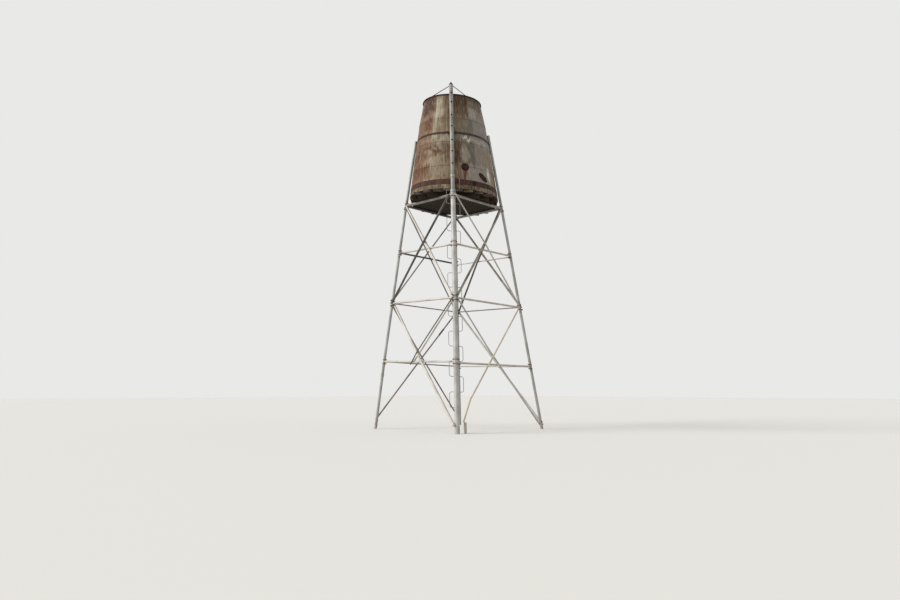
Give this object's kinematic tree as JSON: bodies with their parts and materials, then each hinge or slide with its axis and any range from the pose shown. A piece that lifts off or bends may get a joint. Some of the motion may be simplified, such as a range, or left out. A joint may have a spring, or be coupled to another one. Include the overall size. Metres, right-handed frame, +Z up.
{
  "type": "water tower",
  "caption": "Tapered sheet-steel water tank on a board deck, carried by a slender cross-braced tower of steel pipe legs with a climbing rod up one leg.",
  "frame": {"origin": "middle of the bounding box in plan, at the ground under the lowest foot", "axes": "+Z up; the sides of the square plan face X and Y; the leg with the climbing rod stands at +X, -Y"},
  "size_m": [2.6696, 2.7208, 7.6349],
  "materials": {
    "boards": "dark weathered boards",
    "dark_steel": "dark, rusted",
    "frame_steel": "dull grey galvanised pipe",
    "leg_paint": "worn cream paint over galvanised pipe",
    "rusted_steel": "rusted",
    "tank_sheet": "weathered galvanised sheet with rust"
  },
  "bodies": {
    "root": {"leg_front_left": "leg_paint", "leg_front_right": "leg_paint", "leg_back_right": "leg_paint", "leg_back_left": "leg_paint", "leg_front_right_sleeve": "leg_paint", "leg_front_right_mast": "leg_paint", "mast_cap": "dark_steel", "stay_left": "dark_steel", "stay_right": "dark_steel", "climbing_rod": "frame_steel", "rail_lower_front": "frame_steel", "rail_lower_right": "frame_steel", "rail_lower_back": "frame_steel", "rail_lower_left": "frame_steel", "rail_middle_front": "frame_steel", "rail_middle_right": "frame_steel", "rail_middle_back": "frame_steel", "rail_middle_left": "frame_steel", "rail_upper_front": "frame_steel", "rail_upper_right": "frame_steel", "rail_upper_back": "frame_steel", "rail_upper_left": "frame_steel", "rail_deck_front": "frame_steel", "rail_deck_right": "frame_steel", "rail_deck_back": "frame_steel", "rail_deck_left": "frame_steel", "stake_front_right": "frame_steel", "brace_upper_front_falling_left": "frame_steel", "brace_upper_front_falling_right": "frame_steel", "brace_upper_right_falling_left": "frame_steel", "brace_upper_right_falling_right": "frame_steel", "brace_upper_back_falling_left": "frame_steel", "brace_upper_back_falling_right": "frame_steel", "brace_upper_left_falling_left": "frame_steel", "brace_upper_left_falling_right": "frame_steel", "brace_lower_front_falling_left": "frame_steel", "brace_lower_front_falling_left_outer": "dark_steel", "brace_lower_front_falling_right": "frame_steel", "brace_lower_right_falling_left": "frame_steel", "brace_lower_right_falling_right": "frame_steel", "brace_lower_back_falling_left": "frame_steel", "brace_lower_left_falling_left": "frame_steel", "brace_lower_left_falling_right": "frame_steel", "deck_lower_boards": "boards", "deck_upper_boards": "boards", "tank_course_1": "tank_sheet", "tank_course_2": "tank_sheet", "tank_course_3": "tank_sheet", "tank_course_4": "tank_sheet", "tank_floor": "rusted_steel", "tank_port_left": "tank_sheet", "tank_port_right": "tank_sheet", "tank_hoop": "dark_steel", "tank_bottom_band": "rusted_steel", "tank_rim": "dark_steel"}
  },
  "joints": []
}
